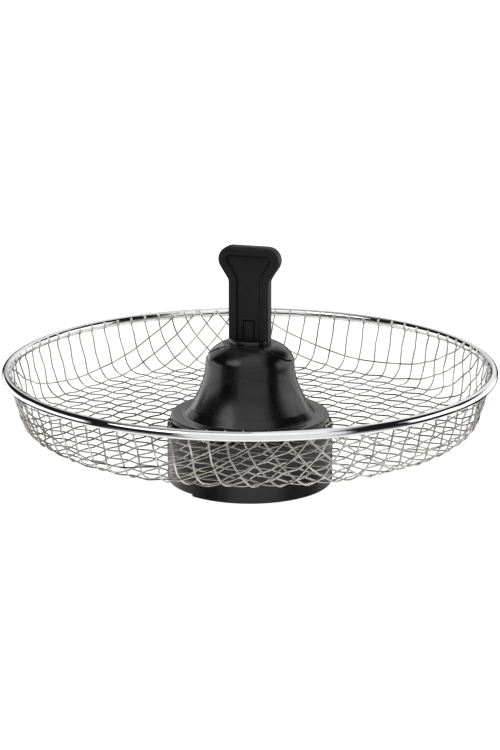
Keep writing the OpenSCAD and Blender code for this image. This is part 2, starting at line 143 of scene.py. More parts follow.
def grid(rows, cols, close_rows=False, close_cols=False, start=0):
    """The quads of a grid of points that is stored row after row."""
    i = np.arange(rows if close_rows else rows - 1)[:, None]
    j = np.arange(cols if close_cols else cols - 1)[None, :]
    i2, j2 = (i + 1) % rows, (j + 1) % cols
    corners = [i * cols + j, i2 * cols + j, i2 * cols + j2, i * cols + j2]
    quads = np.stack([np.broadcast_to(c, (i.size, j.size)) for c in corners], -1)
    return (start + quads).reshape(-1, 4).tolist()


def tube(rows, cols, start=0):
    """The faces of a closed tube: the quads between its rings, and one face on each end."""
    last = start + (rows - 1) * cols
    ends = [list(range(start, start + cols)), list(range(last, last + cols))]
    return grid(rows, cols, close_cols=True, start=start) + ends


def finish_mesh(obj, angle=40, weighted=True):
    """Smooth shading with creases at the real edges."""
    obj.data.polygons.foreach_set("use_smooth", [True] * len(obj.data.polygons))
    obj.data.set_sharp_from_angle(angle=math.radians(angle))
    if weighted:
        obj.modifiers.new("even_normals", "WEIGHTED_NORMAL").keep_sharp = True
    return obj


def combine(obj, other, operation="DIFFERENCE"):
    """obj with another closed mesh cut out of it, or united with it."""
    step = obj.modifiers.new("combine", "BOOLEAN")
    step.object, step.operation, step.solver = other, operation, "EXACT"
    bpy.context.view_layer.update()
    graph = bpy.context.evaluated_depsgraph_get()
    mesh = bpy.data.meshes.new_from_object(obj.evaluated_get(graph))
    obj.modifiers.remove(step)
    old, obj.data = obj.data, mesh
    mesh.name = obj.name
    bpy.data.meshes.remove(old)
    bpy.data.objects.remove(other)
    return obj


def join(obj, *others):
    """Several closed shells as one piece."""
    bm = bmesh.new()
    bm.from_mesh(obj.data)
    for other in others:
        bm.from_mesh(other.data)
        bpy.data.objects.remove(other)
    bm.to_mesh(obj.data)
    bm.free()
    return obj


def direction(azimuth, elevation):
    """The unit vector towards an azimuth, from -Y towards +X, and an elevation, in degrees."""
    a, e = math.radians(azimuth), math.radians(elevation)
    return Vector((math.sin(a) * math.cos(e), -math.cos(a) * math.cos(e), math.sin(e)))


def arc(x, y, r, start, end, count):
    """Points on an arc about (x, y), from one angle to another in degrees."""
    t = np.radians(np.linspace(start, end, count))
    return np.column_stack([x + r * np.cos(t), y + r * np.sin(t)])


def fillet(corners, steps=5):
    """A closed outline from (x, y, radius) corners, each rounded by an arc."""
    out = []
    for i, (x, y, r) in enumerate(corners):
        p = np.array([x, y])
        a = np.array(corners[i - 1][:2]) - p
        b = np.array(corners[(i + 1) % len(corners)][:2]) - p
        if r <= 0:
            out.append(p)
            continue
        a, b = a / np.linalg.norm(a), b / np.linalg.norm(b)
        half = math.acos(np.clip(a @ b, -1, 1)) / 2
        reach = r / math.tan(half)
        middle = p + (a + b) / np.linalg.norm(a + b) * r / math.sin(half)
        u, v = p + a * reach - middle, p + b * reach - middle
        turn = math.acos(np.clip(u @ v / r / r, -1, 1))
        for k in range(steps + 1):
            t = turn * k / steps
            out.append(middle + (u * math.sin(turn - t) + v * math.sin(t)) / math.sin(turn))
    return np.array(out)


def lathe(name, section_at, angles=np.arange(0, 360, 2.0)):
    """A closed section of (radius, height) points, which section_at gives at an angle, turned about
    the axis."""
    rings = []
    for angle in angles:
        radius, z = section_at(angle).T
        t = math.radians(angle)
        rings.append(np.column_stack([radius * math.sin(t), -radius * math.cos(t), z]))
    faces = grid(len(rings), len(rings[0]), True, True)
    return make(name, np.concatenate(rings), faces, merge=1e-3)


def sides(width):
    """The two sides of something that is centred on the axis."""
    return -width / 2, width / 2


def box_piece(name, x, y, z, radius=0, steps=2):
    """A closed box between pairs of places along the axes, with rounded edges."""
    obj = make(name, [(a, b, c) for a in x for b in y for c in z],
               [(0, 1, 3, 2), (4, 6, 7, 5), (0, 4, 5, 1), (2, 3, 7, 6), (0, 2, 6, 4), (1, 5, 7, 3)])
    if radius:
        bm = bmesh.new()
        bm.from_mesh(obj.data)
        bmesh.ops.bevel(bm, geom=bm.edges[:], offset=radius * MM, segments=steps, profile=0.5,
                        affect="EDGES")
        bm.to_mesh(obj.data)
        bm.free()
    return obj


# ---- materials --------------------------------------------------------------------------------

class Nodes:
    """A node tree, with short calls for the nodes that it is made of."""

    def __init__(self, tree):
        self.tree = tree

    def add(self, kind, **settings):
        node = self.tree.nodes.new(kind)
        for key, value in settings.items():
            setattr(node, key, value)
        return node

    def feed(self, socket, value):
        """Gives a socket its value: another node's output, a colour or a number."""
        if isinstance(value, bpy.types.NodeSocket):
            self.tree.links.new(value, socket)
        else:
            socket.default_value = (*value, 1) if isinstance(value, tuple) else value

    def math(self, operation, a, b=0.0):
        node = self.add("ShaderNodeMath", operation=operation)
        self.feed(node.inputs[0], a)
        self.feed(node.inputs[1], b)
        return node.outputs[0]

    def range(self, value, low, high, to_low=0.0, to_high=1.0):
        node = self.add("ShaderNodeMapRange", interpolation_type="SMOOTHSTEP")
        for key, x in zip(("Value", "From Min", "From Max", "To Min", "To Max"),
                          (value, low, high, to_low, to_high)):
            self.feed(node.inputs[key], x)
        return node.outputs["Result"]

    def split(self, vector):
        """The x, y and z of a vector."""
        node = self.add("ShaderNodeSeparateXYZ")
        self.feed(node.inputs[0], vector)
        return tuple(node.outputs)


class Shader(Nodes):
    """A material made of nodes. Its noises count per metre of the object's own space."""

    def __init__(self, name, **sockets):
        self.material = bpy.data.materials.new(name)
        self.material.use_nodes = True
        super().__init__(self.material.node_tree)
        self.bsdf = self.tree.nodes["Principled BSDF"]
        self.place = self.add("ShaderNodeTexCoord").outputs["Object"]
        for key, value in sockets.items():
            self.feed(self.bsdf.inputs[key.replace("_", " ")], value)

    def noise(self, scale, detail=3.0, rough=0.55, stretch=None, place=None):
        node = self.add("ShaderNodeTexNoise")
        for key, value in zip(("Scale", "Detail", "Roughness"), (scale, detail, rough)):
            node.inputs[key].default_value = value
        place = place or self.place
        if stretch:
            mapping = self.add("ShaderNodeMapping")
            mapping.inputs["Scale"].default_value = stretch
            self.feed(mapping.inputs["Vector"], place)
            place = mapping.outputs["Vector"]
        self.feed(node.inputs["Vector"], place)
        return node.outputs["Fac"]

    def mix(self, factor, first, second):
        node = self.add("ShaderNodeMix", data_type="RGBA")
        for socket, value in zip((node.inputs["Factor"], node.inputs[6], node.inputs[7]),
                                 (factor, first, second)):
            self.feed(socket, value)
        return node.outputs[2]

    def clouds(self, noise, first, second):
        """A colour that drifts softly between two."""
        return self.mix(self.range(noise, 0.35, 0.7), first, second)

    def bump(self, height, distance, under=None):
        node = self.add("ShaderNodeBump")
        node.inputs["Distance"].default_value = distance
        self.feed(node.inputs["Height"], height)
        if under:
            self.feed(node.inputs["Normal"], under)
        return node.outputs["Normal"]

    def use(self, **links):
        for key, value in links.items():
            self.feed(self.bsdf.inputs[key.replace("_", " ")], value)
        return self.material


def plastic(name, colour, lighter, rough, grain_depth, specular=0.5):
    """Moulded black plastic: fine spark-eroded grain, faint flow clouds, a few handling marks."""
    s = Shader(name, Specular_IOR_Level=specular, IOR=1.5)
    grain = s.noise(2600, 2, 0.6)
    marks = s.noise(160, 5, 0.7, (1, 1, 0.35))
    base = s.clouds(s.noise(22, 4), colour, lighter)
    base = s.mix(s.range(marks, 0.62, 0.75, 0, 0.5), base, tuple(2 * x for x in lighter))
    roughness = s.math("ADD", s.range(marks, 0.35, 0.7, rough - 0.04, rough + 0.08),
                       s.range(grain, 0.3, 0.7, -0.03, 0.03))
    return s.use(Base_Color=base, Roughness=roughness, Normal=s.bump(grain, grain_depth))


def chrome(name):
    """Bright plated rod: mirror bright, with faint smears and the rod's own slight waviness."""
    s = Shader(name, Metallic=1.0)
    smears = s.noise(90, 5, 0.65)
    base = s.mix(s.range(smears, 0.35, 0.75), (0.93, 0.935, 0.94), (0.86, 0.865, 0.87))
    waves = s.bump(s.noise(130, 2), 0.00005)
    return s.use(Base_Color=base, Roughness=s.range(smears, 0.4, 0.8, 0.035, 0.11),
                 Normal=s.bump(s.noise(1800, 3), 0.0000015, under=waves))


def drawn_wire(name):
    """Drawn stainless wire, a little warm, flattened and bright where it is welded to the rim."""
    s = Shader(name, Metallic=1.0)
    weld = s.add("ShaderNodeAttribute", attribute_name="weld").outputs["Fac"]
    fine = s.noise(1500, 4, 0.65)
    base = s.clouds(s.noise(35, 4), (0.70, 0.675, 0.63), (0.35, 0.33, 0.297))
    base = s.mix(weld, base, (0.96, 0.95, 0.93))
    roughness = s.math("ADD", s.range(fine, 0.3, 0.7, 0.07, 0.17), s.math("MULTIPLY", weld, 0.2))
    return s.use(Base_Color=base, Roughness=roughness, Normal=s.bump(fine, 0.000006))


def brushed(name, colour, darker, rough):
    """Stamped or turned steel with fine lines round the axis."""
    s = Shader(name, Metallic=1.0)
    x, y, _ = s.split(s.place)
    radius = s.math("SQRT", s.math("ADD", s.math("MULTIPLY", x, x), s.math("MULTIPLY", y, y)))
    spread = s.add("ShaderNodeCombineXYZ")
    s.feed(spread.inputs[0], s.math("MULTIPLY", radius, 3000.0))
    lines = s.noise(1.0, 2.0, 0.5, place=spread.outputs[0])
    return s.use(Base_Color=s.clouds(s.noise(80, 4), colour, darker),
                 Roughness=s.range(lines, 0.3, 0.7, rough - 0.06, rough + 0.08),
                 Normal=s.bump(lines, 0.00001))


rim_material = chrome("bright_chrome")
wire_material = drawn_wire("drawn_wire")
plate_material = brushed("brushed_plate", (0.62, 0.62, 0.61), (0.52, 0.52, 0.51), 0.32)
screw_material = brushed("zinc_screw", (0.66, 0.67, 0.68), (0.55, 0.56, 0.56), 0.28)
drum_material = plastic("drum_plastic", (0.0065, 0.0065, 0.0067), (0.010, 0.010, 0.0103),
                        0.31, 0.000008)
hub_material = plastic("hub_plastic", (0.0036, 0.0038, 0.0044), (0.0056, 0.006, 0.0072),
                       0.22, 0.000004)
handle_material = plastic("handle_plastic", (0.0160, 0.0162, 0.0169), (0.0212, 0.0215, 0.0225),
                          0.46, 0.000008, specular=0.16)


def piece(obj, body, material, slot, *stands_for):
    """Makes obj a piece of a body, with its material, in place of the CAD nodes it stands for."""
    obj.data.materials.clear()
    obj.data.materials.append(material)
    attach(obj, body)
    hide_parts(*stands_for)


# ---- the woven dish ---------------------------------------------------------------------------

wire_sides, wire_step, fewest_steps = 8, 1.3, 8
wave_h = wire_d / 2         # how far each wire leaves the middle surface at a crossing
calm_h, wave_grows = 1.0, 4.0           # below the rod it lies still this far, then the wave grows
weld_h, weld_fades = 0.2, 2.2           # below the rod it is welded this far, then the weld fades
weld_sink, weld_swell = 0.3, 0.2        # how deep the weld sinks into the rod, and its added width
end_reach = 1.2             # how far it runs past the rod's middle
rim_room = 3.5              # a wire that would pass closer to the rim than this is left out
cone_k = math.sin(wall_lean)            # share of a full turn that the wall takes, unrolled flat
fold_s = wall_foot_r - 0.5              # where the cloth folds from the floor to the wall


def dish(s):
    """The dish's middle surface at distance s from the axis: radius, height and slope."""
    b = np.clip((s - bend_start) / bend_r, 0, bend_angle)
    w = np.maximum(s - bend_end, 0)
    r = np.where(s < bend_start, s, bend_start + bend_r * np.sin(b) + w * math.sin(wall_lean))
    z = floor_z + bend_r * (1 - np.cos(b)) + w * math.cos(wall_lean)
    return r, z, b


def drape(u, v):
    """Where the point (u, v) of the flat cloth lies in the dish: its angle, from u towards v, and
    its distance from the axis.

    Every cell of the cloth keeps the length of its sides and only shears. The floor holds the flat
    grid as it is. On the wall, unrolled flat, a point's place is a start plus a step that depends
    on u alone plus a step that depends on v alone, which keeps those lengths. Both steps are chosen
    so that the cloth meets the floor's grid along the fold.
    """
    p, q = cone_k, 2 - cone_k
    au, av = np.abs(u), np.abs(v)

    def climb(a):
        return np.stack([np.sin(p * a) / p - np.sin(q * a) / q,
                         -(1 - np.cos(q * a)) / q - (1 - np.cos(p * a)) / p], -1) / 2

    def sweep(a):
        return np.stack([np.sin(p * a) / p + np.sin(q * a) / q,
                         (1 - np.cos(q * a)) / q - (1 - np.cos(p * a)) / p], -1) / 2

    last = (1 - p) * math.pi / 2
    u_in_fold = fold_s * climb(np.arccos(np.clip(au / fold_s, 0, 1)))
    u_beyond = np.stack([np.zeros_like(au), au - fold_s], -1)
    v_in_fold = fold_s * sweep(np.arcsin(np.clip(av / fold_s, 0, 1)))
    v_beyond = (fold_s * sweep(np.full_like(av, math.pi / 2))
                + (av - fold_s)[..., None] * np.array([math.cos(last), math.sin(last)]))
    flat = (np.array([0, fold_s / p]) + np.where((au < fold_s)[..., None], u_in_fold, u_beyond)
            + np.where((av < fold_s)[..., None], v_in_fold, v_beyond))
    turn = np.arctan2(flat[..., 0], flat[..., 1]) / p
    on_wall = np.arctan2(np.sin(turn) * np.where(v < 0, -1, 1),
                         np.cos(turn) * np.where(u < 0, -1, 1))
    inside = np.hypot(u, v) <= fold_s
    angle = np.where(inside, np.arctan2(v, u), on_wall)
    s = np.where(inside, np.hypot(u, v), fold_s + np.hypot(flat[..., 0], flat[..., 1]) - fold_s / p)
    return angle, s


def reach_of(u, limit):
    """How far along v the wire at u runs before it is at distance limit from the axis."""
    low, high = 0.0, 2 * rim_r
    for _ in range(40):
        mid = (low + high) / 2
        if drape(np.array([u]), np.array([mid]))[1][0] < limit:
            low = mid
        else:
            high = mid
    return low


# Slow waves across the cloth, each with a frequency and a phase for either direction, and a size.
ragged = np.random.default_rng(11)
strays = [(ragged.uniform(0.010, 0.028, 2), ragged.uniform(0, 2 * math.pi, 2),
           ragged.uniform(0.10, 0.22)) for _ in range(4)]
stray_turns = (0.4, 1.3, 2.2, 2.9)


def stray(u, v, axis):
    """The cloth's slight unevenness: how far its wires stray from a perfect grid."""
    total = 0
    for (frequency, phase, size), turn in zip(strays, stray_turns):
        along = u * math.cos(turn) + v * math.sin(turn)
        total = total + size * np.sin(2 * math.pi * frequency[axis] * along + phase[axis])
    return total


def across(a, b):
    """The part of each vector of a that is square to the unit vector b, at length 1."""
    a = a - b * np.sum(a * b, 1)[:, None]
    return a / np.linalg.norm(a, axis=1)[:, None]


def wire_run(own, shift, first, last, lifted, is_warp):
    """One stretch of wire as a tube: points, how welded each point is, and the number of rings."""
    count = max(fewest_steps, math.ceil((last - first) / wire_step))
    along = np.linspace(first, last, count + 1)
    fixed = np.full_like(along, own)
    u, v = (fixed, along) if is_warp else (along, fixed)
    u, v = u + stray(u, v, 0), v + stray(u, v, 1)
    angle, s = drape(u, v)
    below = np.maximum(rod_reach - s, 0)

    # Under the rim the wave dies out, and the wire leans on the inner side of the rod.
    wave = math.pi * (along - shift) / wire_pitch
    lift = lifted * wave_h * (0.9 * np.cos(wave) + 0.1 * np.cos(3 * wave))
    contact = rod_r + wire_d / 2 - weld_sink
    lean_in = np.sqrt(np.maximum(contact**2 - (rod_reach - s) ** 2, 0)) - wall_inset
    lift = lift * np.clip((below - calm_h) / wave_grows, 0, 1) + np.maximum(lean_in, 0)

    r, z, slope = dish(s)
    zero = np.zeros_like(angle)
    out = np.stack([np.cos(angle), np.sin(angle), zero], -1)
    inward = -np.sin(slope)[:, None] * out + np.stack([zero, zero, np.cos(slope)], -1)
    centre = r[:, None] * out + np.stack([zero, zero, z], -1) + lift[:, None] * inward
    tangent = np.gradient(centre, axis=0)
    tangent /= np.linalg.norm(tangent, axis=1)[:, None]
    up = across(inward, tangent)
    side = np.cross(tangent, up)

    welded = np.clip(1 - (below - weld_h) / weld_fades, 0, 1) ** 2
    radius = wire_d / 2 * (1 + weld_swell * welded)
    t = 2 * math.pi * np.arange(wire_sides) / wire_sides
    ring = np.cos(t)[None, :, None] * up[:, None] + np.sin(t)[None, :, None] * side[:, None]
    points = (centre[:, None] + radius[:, None, None] * ring).reshape(-1, 3)
    c, d = math.cos(weave_turn), math.sin(weave_turn)
    turned = points @ np.array([[c, d, 0], [-d, c, 0], [0, 0, 1]])
    return turned, np.repeat(welded, wire_sides), len(along)


def weave_piece(node, low, high, is_warp):
    """The wires of one direction that lie between two places across it, as one piece."""
    points, faces, welds = [], [], []
    start = 0
    count = int(rim_r / wire_pitch) + 1
    for i in range(-count, count + 1):
        own = (weave_shift if is_warp else 0.0) + i * wire_pitch
        if not low < own < high or abs(own) >= rod_reach - rim_room:
            continue
        end = reach_of(own, rod_reach + end_reach)
        hole = math.sqrt(max(weave_hole_r**2 - own**2, 0))
        side = (1 if is_warp else -1) * (-1) ** i
        shift = 0.0 if is_warp else weave_shift
        for first, last in [(-end, -hole), (hole, end)] if hole else [(-end, end)]:
            run, weld, rings = wire_run(own, shift, first, last, side, is_warp)
            points.append(run)
            welds.append(weld)
            faces += tube(rings, wire_sides, start)
            start += len(run)
    obj = make("woven_" + node, np.concatenate(points), faces, {"weld": np.concatenate(welds)})
    piece(finish_mesh(obj, 60, weighted=False), "basket", wire_material, "basket_wire", node)


for kind, places in (("warp", ("left", "middle", "right")), ("weft", ("front", "middle", "back"))):
    bounds = (-rim_r, -weave_hole_r, weave_hole_r, rim_r)
    for place, low, high in zip(places, bounds, bounds[1:]):
        weave_piece(f"{kind}_wires_{place}", low, high, kind == "warp")


# ---- the rim: a rod bent round and butt welded behind -----------------------------------------

def rim():
    seam_at, seam_half, seam_swell = math.radians(152), 1.3, 0.05
    ring = np.linspace(0, 2 * math.pi, 360, endpoint=False)
    ring = np.unique(np.round(np.concatenate([ring, seam_at + np.linspace(-4, 4, 17) / rim_r]), 7))
    tube_turn = np.linspace(0, 2 * math.pi, 40, endpoint=False)
    rod = rod_r * (1 + seam_swell * np.exp(-(((ring - seam_at) * rim_r / seam_half) ** 2)))[:, None]
    radius = rim_r + rod * np.cos(tube_turn)
    points = np.stack([radius * np.sin(ring)[:, None], -radius * np.cos(ring)[:, None],
                       rim_z + rod * np.sin(tube_turn)], -1)
    return make("rim_rod", points.reshape(-1, 3), grid(len(ring), len(tube_turn), True, True))


piece(finish_mesh(rim(), 60, weighted=False), "basket", rim_material, "rim_chrome", "rim_ring")


# ---- the drum ---------------------------------------------------------------------------------

foot_h = 3.0                # the part of the drum that gives way to the notches
drum_section = fillet([
    (drum_r, 0, 0.7), (drum_r, drum_h, 1.1),
    (plate_r_out + fit, drum_h, 0.3), (plate_r_out + fit, plate_seat_z, 0),
    (plate_r_in - fit, plate_seat_z, 0), (plate_r_in - fit, spigot_z, 0.4),
    (spigot_r_in, spigot_z, 0.4), (spigot_r_in, plate_seat_z, 0.4),
    (tube_r_in, plate_seat_z, 0.5), (tube_r_in, bore_depth, 0.4),
    (tube_r_out, bore_depth, 0.4), (tube_r_out, under_z, 0.8),
    (shoulder_r, under_z, 0.8), (shoulder_r, bore_depth, 0.4),
    (bore_r, bore_depth, 0.3), (bore_r, 0, 0.5),
])


def notched_section(angle):
    """The drum's section, with its foot pushed up within a notch."""
    if min(abs((angle - m + 180) % 360 - 180) for m in notch_middles) > notch_half:
        return drum_section
    lifted = drum_section.copy()
    foot = lifted[:, 1] < foot_h
    lifted[foot, 1] = notch_h + lifted[foot, 1] * (foot_h - notch_h) / foot_h
    return lifted


def drum():
    edge = 0.06             # degrees from a notch's end to the rings on either side of it
    edges = [(m + side * (notch_half + d)) % 360
             for m in notch_middles for side in (-1, 1) for d in (-edge, edge)]
    body = lathe("drum", notched_section,
                 np.unique(np.round(np.concatenate([np.arange(0, 360, 2.0), edges]), 3)))
    ribs = []
    for i in range(8):
        rib = box_piece("rib", (tube_r_out - 0.5, shoulder_r + 0.5), sides(rib_t),
                        (bore_depth + 0.3, under_z + 0.5), 0.3)
        rib.data.transform(Matrix.Rotation(math.radians(45 * (i + 0.5)), 4, "Z"))
        ribs.append(rib)
    return join(body, *ribs)


piece(finish_mesh(drum()), "basket", drum_material, "pedestal_plastic", "pedestal")


# ---- clamp plates and screws ------------------------------------------------------------------

def clamp_plate(node):
    z0, z1 = span(node, 2)
    edge = 0.2
    section = fillet([(plate_r_out, z0, edge), (plate_r_out, z1, edge),
                      (plate_r_in, z1, edge), (plate_r_in, z0, edge)], 3)
    return lathe(node + "_turned", lambda angle: section)


def soften_screws(node):
    """The CAD's own screws, with their edges rounded."""
    obj = nodes[node]
    obj.data.materials.clear()
    obj.data.materials.append(screw_material)
    obj.modifiers.new("weld", "WELD").merge_threshold = 0.01 * MM
    soft = obj.modifiers.new("soft_edges", "BEVEL")
    soft.width, soft.segments = 0.12 * MM, 2
    soft.limit_method, soft.angle_limit = "ANGLE", math.radians(45)


for plate in ("lower_clamp_plate", "upper_clamp_plate"):
    piece(finish_mesh(clamp_plate(plate)), "basket", plate_material, "plate_steel", plate)
for screws in ("hub_screws", "collar_screws"):
    soften_screws(screws)


# ---- the hub ----------------------------------------------------------------------------------

seam_gap, seam_soft = 0.34, 0.25    # the seam between core and hood: its gap, and its edges' radius
root_h = 3.5                        # height of the bell's root, which runs out into the flange
crown_h = 0.3                       # height of the hood's edge where it rounds over to the flat top


def hub_radius(z):
    """The hub's outer radius at a height: the bell up to the dome's widest level, then the dome."""
    z = np.asarray(z, float)
    dome = dome_r * np.sqrt(np.maximum(0, 1 - ((z - dome_z) / dome_h) ** 2))
    bell = dome_r + (bell_r - dome_r) * (1 - np.sin(math.pi / 2 * (z - bell_z) / (dome_z - bell_z)))
    return np.where(z > dome_z, dome, bell)


def inner_radius(z, inset):
    """The radius of a surface that lies inset within the hub's outside."""
    z = np.asarray(z, float)
    return hub_radius(z + np.where(z > dome_z, inset * (z - dome_z) / dome_h, 0)) - inset


flat_r = float(hub_radius(top_flat_z))


def outside(z0, z1, count):
    """Points on the hub's outside from one height to another."""
    z = np.linspace(z0, z1, count)
    return np.column_stack([hub_radius(z), z])


def within(z0, z1, inset, count):
    """Points on the surface that lies inset within it."""
    z = np.linspace(z0, z1, count)
    return np.column_stack([inner_radius(z, inset), z])


def arch_height(angle, gap):
    """Where the arch's edge crosses the hub's outer surface at an angle in front."""
    z = arch_z
    for _ in range(60):
        x = float(hub_radius(z)) * math.sin(math.radians(angle))
        z = arch_z - arch_r + math.sqrt((arch_r - gap) ** 2 - x * x)
    return z


def seam_point(angle, gap):
    """Where the seam of core and hood lies at an angle: radius and height on the hub's outside.

    It follows the arch in front, runs across the flat top along the brow, keeps level behind, and
    takes a steep step where front and back meet.
    """
    a = abs((angle + 180) % 360 - 180)
    ease = 1.5                                  # degrees that the step takes
    turn = 90 - math.degrees(gap / dome_r)      # where the arch ends
    if a >= turn:
        return float(hub_radius(cap_z)), cap_z
    front = arch_height(min(a, turn - ease), gap)
    brow = (brow_y + gap) / math.cos(math.radians(min(a, turn)))
    if brow <= flat_r:
        return brow, top_flat_z
    sill = top_flat_z - cap_t - gap
    if brow < dome_r:
        sill = max(sill, dome_z + dome_h * math.sqrt(1 - (brow / dome_r) ** 2))
    share = min(1.0, (turn - a) / ease)
    z = cap_z + (min(front, sill) - cap_z) * share * share * (3 - 2 * share)
    return float(hub_radius(z)), z


# Points in each stretch of the two sections: the same at every angle, so that the rings join.
bell_n, flat_n, under_n, hollow_n = 36, 5, 16, 26
outer_n, inner_n, edge_n = 34, 26, 4


def core_section(angle):
    """Flange, bell and inner dome: up the outside to the seam, under the hood, down the hollow."""
    r, seam = seam_point(angle, seam_gap)
    s, top, inner_r = seam_soft, top_flat_z, plate_r_in + 1
    root = fillet([(plate_r_out + fit, flange_z, 0), (flange_r, flange_z, 0.5),
                   (flange_r, bell_z, 1.0), (bell_r + 0.5, bell_z, 1.6),
                   (bell_r - 0.6, bell_z + root_h, 0), (inner_r, bell_z + root_h, 0)])[:-2]
    if seam == top:
        bell = outside(bell_z + root_h, top - 0.02, bell_n)
        flat = np.linspace((flat_r - 0.05, top), (r + s, top), flat_n)
        edge = arc(r + s, top - s, s, 90, 180, edge_n)
    else:
        bell = outside(bell_z + root_h, seam - s, bell_n)
        flat = np.repeat(bell[-1:], flat_n, 0)
        edge = arc(r - s, seam - s, s, 0, 90, edge_n)
    if seam < core_top:
        under = within(seam, core_top, cap_t + 0.1, under_n)
    else:
        under = np.linspace((edge[-1][0], core_top), (edge[-1][0] - 0.5, core_top), under_n)
    hollow = within(core_top - hub_wall, bell_z, cap_t + hub_wall, hollow_n)
    axis = [(0, core_top), (0, core_top - hub_wall)]
    plate_top = flange_z + plate_t + seat
    plate_seat = [(inner_r, bell_z), (inner_r, plate_top), (plate_r_out + fit, plate_top)]
    return np.concatenate([root, bell, flat, edge, under, axis, hollow, plate_seat])


def hood_section(angle):
    """The hood: up the outside from the seam, across the top, and back down its inner side."""
    r, seam = seam_point(angle, 0.0)
    s, top, under = seam_soft, top_flat_z, top_flat_z - cap_t
    if seam >= top - crown_h - s:
        r = min(r, flat_r + crown_h)
        outer = np.linspace((r - s, top), (r - s - 0.4, top), outer_n)
        crown = [(r - s - 0.5, top), (r - s - 0.7, top)]
        edge = arc(r - s, top - s, s, 0, 90, edge_n)
    else:
        outer = outside(seam + s, top - crown_h, outer_n)
        crown = [(flat_r + 0.12, top - 0.1), (flat_r - 0.25, top)]
        edge = arc(r - s, seam + s, s, -90, 0, edge_n)
    if seam + s < under:
        inner = within(under, seam + s, cap_t, inner_n)
        foot = [(float(inner_radius(seam, cap_t)), seam)]
    else:
        inner = np.linspace((r - 2.0, under), (r - 0.4, under), inner_n)
        foot = [(r - 0.2, under)]
    return np.concatenate([outer, crown, [(0, top), (0, under)], inner, foot, edge[:-1]])


# Rings every two degrees, and closer where the seam leaves the flat top and where it steps down.
hub_angles = np.unique(np.round(np.concatenate([
    np.arange(0, 360, 2.0), np.arange(39, 55, 0.5), np.arange(305.5, 321.5, 0.5),
    np.arange(86, 92.01, 0.25), np.arange(268, 274.01, 0.25)]), 3))


def socket_hole(z0, z1):
    """What is cut out of core and hood for the handle's sleeve."""
    return box_piece("cut", sides(sleeve_w + 2 * fit), sides(sleeve_d + 2 * fit), (z0, z1))


def hub_core():
    core = combine(lathe("hub_bell", core_section, hub_angles),
                   socket_hole(core_top - hub_wall - 3, core_top + 3))
    bridge_reach = float(inner_radius(sleeve_z - 2, cap_t + hub_wall)) + 1
    bridge = box_piece("bridge", sides(2 * bridge_reach), sides(bridge_w),
                       (sleeve_z - bridge_t, sleeve_z - 0.02), 0.4)
    foot_z = plate_seat_z + seat
    section = fillet([(0.01, foot_z, 0), (boss_r, foot_z, 0.4),
                      (boss_r, boss_top, 0), (0.01, boss_top, 0)], 3)
    bosses = []
    for i in range(4):
        boss = lathe("boss", lambda angle: section, np.arange(0, 360, 12.0))
        boss.data.transform(Matrix.Translation(direction(90 * (i + 0.5), 0) * hub_screw_r * MM))
        bosses.append(boss)
    return join(core, bridge, *bosses)


piece(finish_mesh(hub_core()), "basket", hub_material, "hub_plastic", "hub_core")
hood = combine(lathe("hub_hood", hood_section, hub_angles), socket_hole(cap_z, top_flat_z + 3))
piece(finish_mesh(hood), "basket", hub_material, "hub_plastic", "hub_cap")


# ---- the handle's socket ----------------------------------------------------------------------

def rounded_rectangle(w, d, r, z):
    flat = fillet([(w / 2, -d / 2, r), (w / 2, d / 2, r),
                   (-w / 2, d / 2, r), (-w / 2, -d / 2, r)], 4)
    return np.column_stack([flat, np.full(len(flat), z)])


def sleeve():
    """The sleeve that holds the handle's blade: up the outside, over the edge, to its floor."""
    e, corner, inner_corner = 0.25, 0.8, 0.3
    w, d, bw, bd = sleeve_w, sleeve_d, blade_w + 2 * fit, blade_t + 2 * fit
    rings = [rounded_rectangle(w - 2 * e, d - 2 * e, corner - e, sleeve_z),
             rounded_rectangle(w, d, corner, sleeve_z + e),
             rounded_rectangle(w, d, corner, top_flat_z - e),
             rounded_rectangle(w - 2 * e, d - 2 * e, corner - e, top_flat_z),
             rounded_rectangle(bw + 2 * e, bd + 2 * e, inner_corner + e, top_flat_z),
             rounded_rectangle(bw, bd, inner_corner, top_flat_z - e),
             rounded_rectangle(bw, bd, inner_corner, sleeve_z + sleeve_floor)]
    return make("collar", np.concatenate(rings), tube(len(rings), len(rings[0])))


def lip():
    """The curved lip in front of the handle, with the floor between the two."""
    r_out = (lip_half**2 + lip_bulge**2) / (2 * lip_bulge)
    r_in = r_out - lip_t
    middle_y = lip_y - lip_bulge + r_out
    end_out, end_in = math.asin(lip_half / r_out), math.acos((middle_y - lip_y) / r_in)
    z0, z_floor = top_flat_z - 0.3, top_flat_z + lip_floor
    soft_out, soft_in = 0.8, 0.4                # radii of the lip's two upper edges
    end_share, end_drop = 0.1, 1.0              # how much of each half rounds down at its end
    columns = []
    for s in np.sin(np.linspace(-math.pi / 2, math.pi / 2, 41)):
        outer = np.array([r_out * math.sin(s * end_out), middle_y - r_out * math.cos(s * end_out)])
        inner = np.array([r_in * math.sin(s * end_in), middle_y - r_in * math.cos(s * end_in)])
        near_end = max(0.0, (abs(s) - 1 + end_share) / end_share)
        top = top_flat_z + lip_h - end_drop * (1 - math.sqrt(max(0.0, 1 - near_end**2)))
        # From the outer face to the inner one: distance between them and height.
        profile = np.concatenate([[(0, z0), (0, (z0 + top - soft_out) / 2)],
                                  arc(soft_out, top - soft_out, soft_out, 180, 90, 6),
                                  arc(lip_t - soft_in, top - soft_in, soft_in, 90, 0, 6),
                                  [(lip_t, z_floor)]])
        column = [(*(outer + (inner - outer) * depth / lip_t), z) for depth, z in profile]
        columns.append(column + [(inner[0], lip_y, z_floor), (inner[0], lip_y, z0)])
    return make("lip", np.concatenate(columns), tube(len(columns), len(columns[0])), merge=1e-3)


